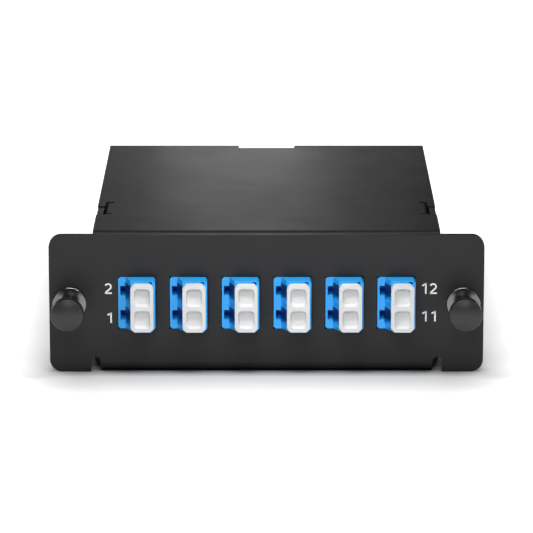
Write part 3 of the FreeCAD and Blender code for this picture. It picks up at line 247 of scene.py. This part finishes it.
def turned(name, node, material, profile, centre):
    """A turned piece from (radius, place along Y) points, about an axis through a centre."""
    shape = bmesh.new()
    points = [shape.verts.new((radius, along, 0)) for radius, along in profile]
    edges = [shape.edges.new(pair) for pair in zip(points, points[1:])]
    if profile[0][0] > 0:
        edges.append(shape.edges.new((points[-1], points[0])))
    bmesh.ops.spin(shape, geom=points + edges, cent=(0, 0, 0), axis=(0, 1, 0),
                   angle=2 * math.pi, steps=72, use_merge=True)
    bmesh.ops.remove_doubles(shape, verts=shape.verts, dist=WELD)
    bmesh.ops.recalc_face_normals(shape, faces=shape.faces)
    bmesh.ops.translate(shape, verts=shape.verts, vec=centre)
    for face in shape.faces:
        face.smooth = True
    mesh = bpy.data.meshes.new(name)
    shape.to_mesh(mesh)
    shape.free()
    mesh.materials.append(material)
    mesh.set_sharp_from_angle(angle=math.radians(40))
    piece = bpy.data.objects.new(name, mesh)
    bpy.context.scene.collection.objects.link(piece)
    stand_for(piece, node)


# The caps' finger recesses: how far their floors lie behind the head, and how they draw in.
RECESS_NEAR = 1.0 * MM
RECESS_FAR = 1.6 * MM
RECESS_FLOOR_AREA = 8 * MM * MM
RECESS_DRAFT_WIDE = 0.86
RECESS_DRAFT_HIGH = 0.88


def draft_recesses(shape):
    """Draw in the floors of the cap's finger recesses, so their walls slope."""
    front = min(face.calc_center_median().y for face in shape.faces)
    floors = [face for face in shape.faces if face.normal.y < -0.99
              and RECESS_NEAR < face.calc_center_median().y - front < RECESS_FAR
              and face.calc_area() > RECESS_FLOOR_AREA]
    for floor in floors:
        middle = floor.calc_center_median()
        for vertex in floor.verts:
            vertex.co.x = middle.x + (vertex.co.x - middle.x) * RECESS_DRAFT_WIDE
            vertex.co.z = middle.z + (vertex.co.z - middle.z) * RECESS_DRAFT_HIGH


# The cut at the lower corner of an adapter's nose.
NOSE_CUT_WIDE = 1.1 * MM
NOSE_CUT_HIGH = 1.25 * MM
ON_FACE = 0.01 * MM


def cut_nose_corner(shape):
    """Cut the lower corner of each nose beside its slope, as the cap's head is cut."""
    front = min(vertex.co.y for vertex in shape.verts)
    back = max(vertex.co.y for vertex in shape.verts)
    for end in (front, back):
        on_end = [vertex for vertex in shape.verts if abs(vertex.co.y - end) < ON_FACE]
        foot = min(vertex.co.z for vertex in on_end)
        feet = [vertex for vertex in on_end if vertex.co.z < foot + ON_FACE]
        corner = min(feet, key=lambda vertex: vertex.co.x)
        lower_edge = next(edge for edge in corner.link_edges
                          if edge.other_vert(corner) in feet)
        share = NOSE_CUT_WIDE / lower_edge.calc_length()
        split = bmesh.utils.edge_split(lower_edge, corner, share)[1]
        under = next(face for face in split.link_faces if abs(face.normal.z) > 0.9)
        root = next(edge.other_vert(corner) for edge in corner.link_edges
                    if edge in under.edges and edge.other_vert(corner) is not split)
        bmesh.utils.face_split(under, split, root)
        corner.co.z += NOSE_CUT_HIGH


# Folded steel.
refined("base_tray", POWDER_COAT, 0.28 * MM, segments=3)
refined("top_cover", POWDER_COAT, 0.10 * MM)
refined("adapter_bracket", ZINC_PLATE, 0.10 * MM)
refined("bracket_rivets", RIVET_METAL, 0.08 * MM)

# Adapters and what plugs into them.
for number in range(1, ADAPTERS + 1):
    refined("lc_adapter_%d" % number, BLUE_PLASTIC, 0.10 * MM, reshape=cut_nose_corner)
    refined("alignment_sleeves_%d" % number, CERAMIC, 0.0)
    refined("dust_cap_%d" % number, WHITE_CAP, 0.10 * MM, crease=20, reshape=draft_recesses)
for number in range(1, PLUGS + 1):
    refined("lc_plug_%02d" % number, PLUG_PLASTIC, 0.10 * MM)
    refined("fibre_%02d" % number, BUFFERS[number - 1], 0.0, crease=60)

# Trunk and rear port.
refined("fan_out", NYLON, 0.3 * MM)
refined("fan_out_saddle", NYLON, 0.2 * MM)
refined("trunk_cable", JACKET, 0.0)
refined("mpo_adapter", NYLON, 0.12 * MM)
refined("mpo_plug", GREEN_PLASTIC, 0.12 * MM)
refined("mpo_screws", PLATED_STEEL, 0.08 * MM)
refined("mpo_nuts", PLATED_STEEL, 0.08 * MM)
refined("mpo_dust_cap", NYLON, 0.25 * MM, segments=3)

# Push-pull latches: sizes of the grommet's flange, and of the knob, waist and stem of the plunger.
# Places along the plunger count from the knob's front.
FACE_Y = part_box("base_tray")[0][1]
FLANGE_DOME = 19.7 * MM
FLANGE_EDGE = 0.3 * MM
FLANGE_BORE = 2.1 * MM
FLANGE_WEB = 0.25 * MM
KNOB_DOME = 9.5 * MM
KNOB_EDGE = 0.35 * MM
KNOB_RIM = 3.4 * MM
KNOB_BACK = 3.6 * MM
KNOB_BACK_EDGE = 0.12 * MM
WAIST_RADIUS = 2.4 * MM
WAIST_START = 6.05 * MM
WAIST_EDGE = 0.1 * MM
WAIST_ROUND = 6.3 * MM
WAIST_END = 6.8 * MM
STEM_RADIUS = 2.0 * MM
BARB_RADIUS = 2.5 * MM
BARB_TIP = 1.0 * MM
BARB_LENGTH = 2.2 * MM


def thin_flange(shape):
    """Leave only a thin web of the flange, behind the domed ring that covers it."""
    for vertex in shape.verts:
        if vertex.co.y < FACE_Y - ON_FACE:
            vertex.co.y = FACE_Y - FLANGE_WEB


def crowned(front, inner, outer, dome, edge, lean, steps):
    """Profile of a domed front with a rounded edge, from the inner to the outer radius."""
    crown = []
    for i in range(steps + 1):
        radius = inner + (outer - edge - inner) * i / steps
        crown.append((radius, front + radius ** 2 / (2 * dome)))
    rim = crown[-1][1] + edge
    return crown + arc((outer - edge, rim), edge, lean, 0, 5)


def domed_flange(node):
    """The flange's glossy domed front, as a ring around the plunger."""
    low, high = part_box(node)
    outer = (high[0] - low[0]) / 2
    profile = crowned(low[1], FLANGE_BORE, outer, FLANGE_DOME, FLANGE_EDGE, lean=-78, steps=14)
    profile += [(outer, FACE_Y), (FLANGE_BORE, FACE_Y)]
    centre = ((low[0] + high[0]) / 2, 0, (low[2] + high[2]) / 2)
    turned(node + "_dome", node, GLOSSY_NYLON, profile, centre)


def domed_plunger(node):
    """Knob with a domed front and a rounded rim, its waist, stem and barb."""
    low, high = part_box(node)
    front = low[1]
    end = high[1]
    outer = (high[0] - low[0]) / 2
    barb = end - BARB_LENGTH
    profile = crowned(front, 0.0, outer, KNOB_DOME, KNOB_EDGE, lean=-72, steps=10)
    profile += [(outer, front + KNOB_RIM), (outer - KNOB_BACK_EDGE, front + KNOB_BACK)]
    profile += [(WAIST_RADIUS + WAIST_EDGE, front + WAIST_START)]
    profile += [(WAIST_RADIUS, front + WAIST_ROUND), (WAIST_RADIUS, front + WAIST_END)]
    profile += [(STEM_RADIUS, front + WAIST_END), (STEM_RADIUS, barb)]
    profile += [(BARB_RADIUS, barb), (BARB_TIP, end), (0.0, end)]
    centre = ((low[0] + high[0]) / 2, 0, (low[2] + high[2]) / 2)
    turned(node + "_knob", node, NYLON, profile, centre)


for side in ("left", "right"):
    refined("latch_grommet_" + side, NYLON, 0.1 * MM, reshape=thin_flange)
    domed_flange("latch_grommet_" + side)
    domed_plunger("latch_plunger_" + side)

# Port numbers printed on the face: digits, left edge, foot and height.
STROKE = 0.40 * MM
INK_THICK = 0.015 * MM
NUMBERS = [("2", -40.49 * MM, 2.52 * MM, 2.77 * MM), ("1", -39.95 * MM, -4.97 * MM, 2.65 * MM),
           ("12", 38.99 * MM, 2.52 * MM, 2.77 * MM), ("11", 39.07 * MM, -4.61 * MM, 2.70 * MM)]
# Distance between the two digits of a number.
ADVANCE = {"12": 1.96 * MM, "11": 2.29 * MM}
# Shape of the digits: the stem and flag of a one, the bowl and foot of a two.
STEM_RIGHT = 1.13 * MM
FLAG_DROP = 0.66 * MM
FLAG_TOP = 0.12 * MM
BOWL = 0.71 * MM
BOWL_MIDDLE = 0.80 * MM
FOOT_LEFT = 0.14 * MM
FOOT_LENGTH = 1.75 * MM


def digit_strokes(digit, height):
    """Centre lines of a plain humanist digit, from its left foot."""
    half = STROKE / 2
    if digit == "1":
        stem = STEM_RIGHT - half
        flag = [(half * 0.3, height - FLAG_DROP), (stem, height - FLAG_TOP)]
        return [[(stem, 0), (stem, height)], flag]
    curve = arc((BOWL_MIDDLE, height - half - BOWL), BOWL, 158, -38, 14)
    foot = (FOOT_LEFT, STROKE * 0.85)
    return [curve + [foot], [(0, half), (FOOT_LENGTH, half)]]


def stroke_faces(shape, line, left, foot):
    """A flat band of constant width along a centre line, on the face plate."""
    band = []
    for i, place in enumerate(line):
        before = Vector(line[max(i - 1, 0)])
        after = Vector(line[min(i + 1, len(line) - 1)])
        along = (after - before).normalized()
        offset = Vector((-along.y, along.x)) * STROKE / 2
        band.append([shape.verts.new((left + place[0] + sign * offset.x, FACE_Y - INK_THICK,
                                      foot + place[1] + sign * offset.y))
                     for sign in (1, -1)])
    for first, second in zip(band, band[1:]):
        shape.faces.new((first[0], second[0], second[1], first[1]))


def printed_numbers():
    """White digits on the face plate, as one thin piece."""
    shape = bmesh.new()
    for words, left, foot, height in NUMBERS:
        for place, digit in enumerate(words):
            for line in digit_strokes(digit, height):
                stroke_faces(shape, line, left + place * ADVANCE.get(words, 0), foot)
    bmesh.ops.recalc_face_normals(shape, faces=shape.faces)
    for face in shape.faces:
        if face.normal.y > 0:
            face.normal_flip()
    mesh = bpy.data.meshes.new("port_numbers")
    shape.to_mesh(mesh)
    shape.free()
    mesh.materials.append(INK)
    piece = bpy.data.objects.new("port_numbers", mesh)
    bpy.context.scene.collection.objects.link(piece)
    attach(piece, "housing")


printed_numbers()


# The floor glows only away from the cassette, so the shadow stays soft and dark. The glow rises
# beyond a box around the cassette, and begins nearer to it at the sides.
FLOOR_MIDDLE = (cad_box[0][1] + cad_box[1][1]) / 2
FLOOR_HALF = 4.0
GLOW_START = 54 * MM
GLOW_RISE = 46 * MM
GLOW_SIDE_SCALE = 1.25
GLOW = 1.0
# Reach of the contact shade painted into the floor's colour, and the power that deepens it.
PAINTED_SHADE_REACH = 5.5 * MM
PAINTED_SHADE_POWER = 1.6


def pale_floor():
    """A wide pale floor that shows white to the camera and keeps the soft shadow, with shade
    painted into its colour close to the cassette.
    """
    material, tree = new_material("pale_studio_floor")
    rays = add_node(tree, "LightPath")
    seen = add_node(tree, "Math", {0: rays.outputs["Is Camera Ray"],
                                   1: rays.outputs["Is Glossy Ray"]}, operation="MAXIMUM")
    seen = add_node(tree, "Math", {0: seen.outputs["Value"],
                                   1: rays.outputs["Is Transmission Ray"]}, operation="MAXIMUM")
    place = add_node(tree, "TexCoord").outputs["Object"]
    around = add_node(tree, "Mapping", {"Vector": place, "Location": (0, -FLOOR_MIDDLE, 0),
                                       "Scale": (GLOW_SIDE_SCALE, 1, 1)})
    around = add_node(tree, "VectorMath", {0: around.outputs["Vector"]}, operation="ABSOLUTE")
    beyond = add_node(tree, "VectorMath", {0: around.outputs["Vector"],
                                           1: (GLOW_START, GLOW_START, 1.0)},
                      operation="SUBTRACT")
    beyond = add_node(tree, "VectorMath", {0: beyond.outputs["Vector"], 1: (0, 0, 0)},
                      operation="MAXIMUM")
    reach = add_node(tree, "VectorMath", {0: beyond.outputs["Vector"]}, operation="LENGTH")
    away = add_node(tree, "MapRange", {"Value": reach.outputs["Value"], "From Min": 0.0,
                                       "From Max": GLOW_RISE, "To Min": 0.0,
                                       "To Max": GLOW}, interpolation_type="SMOOTHSTEP")
    lift = add_node(tree, "Math", {0: seen.outputs["Value"], 1: away.outputs["Result"]},
                    operation="MULTIPLY")
    # Painted shade: ambient occlusion darkens the floor's own colour close to the cassette, and a
    # power deepens it.
    painted_contact_shade = add_node(tree, "AmbientOcclusion", {"Color": linear(FLOOR_WHITE),
                                                  "Distance": PAINTED_SHADE_REACH})
    deeper_painted_shade = add_node(tree, "Gamma", {"Color": painted_contact_shade.outputs["Color"], "Gamma": PAINTED_SHADE_POWER})
    paint = add_node(tree, "BsdfDiffuse", {"Color": deeper_painted_shade.outputs["Color"]})
    glow = add_node(tree, "Emission", {"Color": [1, 1, 1, 1], "Strength": lift.outputs["Value"]})
    both = add_node(tree, "AddShader", {0: paint.outputs["BSDF"], 1: glow.outputs["Emission"]})
    add_node(tree, "OutputMaterial", {"Surface": both.outputs["Shader"]})
    mesh = bpy.data.meshes.new("studio_floor")
    shape = bmesh.new()
    bmesh.ops.create_grid(shape, x_segments=1, y_segments=1, size=FLOOR_HALF)
    bmesh.ops.translate(shape, verts=shape.verts, vec=(0, 0, cad_box[0][2]))
    shape.to_mesh(mesh)
    shape.free()
    mesh.materials.append(material)
    floor = bpy.data.objects.new("studio_floor", mesh)
    bpy.context.scene.collection.objects.link(floor)


pale_floor()


def softbox(name, place, aim, width, depth, power):
    """A rectangular soft lamp that looks at a point."""
    lamp = bpy.data.lights.new(name, "AREA")
    lamp.shape = "RECTANGLE"
    lamp.size = width
    lamp.size_y = depth
    lamp.energy = power
    holder = bpy.data.objects.new(name, lamp)
    holder.location = place
    holder.rotation_euler = (Vector(aim) - Vector(place)).to_track_quat("-Z", "Y").to_euler()
    bpy.context.scene.collection.objects.link(holder)


# Large lamps above and in front, and a small one close over the face, whose light falls off
# from its upper edge to its foot.
softbox("overhead_softbox", (0.0, 0.12, 1.3), (0.0, 0.1, 0.0), 1.0, 0.5, 2.5)
softbox("top_front_softbox", (0.0, -0.6, 1.2), (0.0, 0.0, 0.0), 0.8, 0.6, 6.1)
softbox("front_softbox", (0.0, -1.3, 0.85), (0.0, 0.0, 0.0), 0.5, 0.3, 7.2)
softbox("face_softbox", (0.0, -45 * MM, 78 * MM), (0.0, 0.0, 0.0), 0.03, 0.01, 0.036)
# Two small lamps low behind the cassette, which the satin cover mirrors as a soft highlight.
softbox("cover_strip", (-12 * MM, 338 * MM, 72 * MM), (0.0, 0.1, 0.017), 0.14, 0.03, 0.0145)
softbox("cover_spot", (-8 * MM, 314 * MM, 61 * MM), (0.0, 0.1, 0.017), 0.05, 0.02, 0.0125)
# Weaker lamps at both sides and at both rear corners.
softbox("left_softbox", (-1.1, -0.9, 0.6), (0.0, 0.0, 0.0), 0.6, 0.5, 0.5)
softbox("right_softbox", (1.1, -0.9, 0.6), (0.0, 0.0, 0.0), 0.6, 0.5, 0.5)
softbox("rear_left_softbox", (-1.3, 0.8, 0.8), (0.0, 0.06, 0.0), 0.6, 0.5, 2.2)
softbox("rear_right_softbox", (1.3, 0.8, 0.8), (0.0, 0.06, 0.0), 0.6, 0.5, 2.2)

world = bpy.data.worlds.new("studio")
world.use_nodes = True
bpy.context.scene.world = world
sky = world.node_tree
sky.nodes.clear()
air = add_node(sky, "Background", {"Color": [1, 1, 1, 1], "Strength": 0.02})
add_node(sky, "OutputWorld", {"Surface": air.outputs["Background"]})

# The camera stands in front of the face and looks down on the cover.
CAMERA_PITCH = math.radians(14.0)
camera_data = bpy.data.cameras.new("camera")
camera_data.lens = 237.4
camera_data.sensor_width = 36.0
camera_data.clip_start = 0.05
camera_data.clip_end = 20.0
camera = bpy.data.objects.new("camera", camera_data)
camera.location = (0.0, -854.7 * MM, 222.3 * MM)
camera.rotation_euler = (math.radians(90) - CAMERA_PITCH, 0.0, 0.0)
bpy.context.scene.collection.objects.link(camera)
bpy.context.scene.camera = camera
bpy.context.scene.view_settings.view_transform = "Standard"
